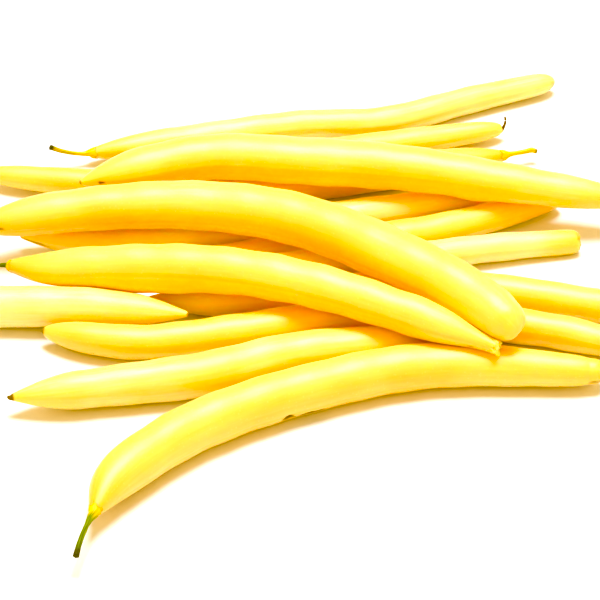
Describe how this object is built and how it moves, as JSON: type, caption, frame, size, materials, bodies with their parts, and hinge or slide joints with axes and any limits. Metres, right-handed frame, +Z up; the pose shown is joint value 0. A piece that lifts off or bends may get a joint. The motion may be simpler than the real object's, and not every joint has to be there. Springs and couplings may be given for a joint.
{
  "type": "bundle of wax beans",
  "caption": "Loose bundle of picked yellow wax bean pods lying along each other, some with green stalks and some snapped off.",
  "frame": {"origin": "on the surface that the bundle lies on, under the middle of its outer box", "axes": "+X along most of the pods, +Y across the pile away from the front pod, +Z up"},
  "size_m": [0.1946, 0.1684, 0.0209],
  "materials": {
    "pod_skin": "smooth waxy skin, satin, yellow to golden",
    "stalk_green": "matt green stalk with a darker cut tip"
  },
  "bodies": {
    "root": {"pod_01": "pod_skin", "pod_02": "pod_skin", "pod_03": "pod_skin", "pod_04": "pod_skin", "pod_05": "pod_skin", "pod_06": "pod_skin", "pod_07": "pod_skin", "pod_08": "pod_skin", "pod_09": "pod_skin", "pod_10": "pod_skin", "pod_11": "pod_skin", "pod_12": "pod_skin", "pod_13": "pod_skin", "pod_14": "pod_skin", "stalk_01": "stalk_green", "stalk_03": "stalk_green", "stalk_09": "stalk_green", "stalk_11": "stalk_green", "stalk_12": "stalk_green", "stalk_13": "stalk_green", "stalk_14": "stalk_green"}
  },
  "joints": []
}
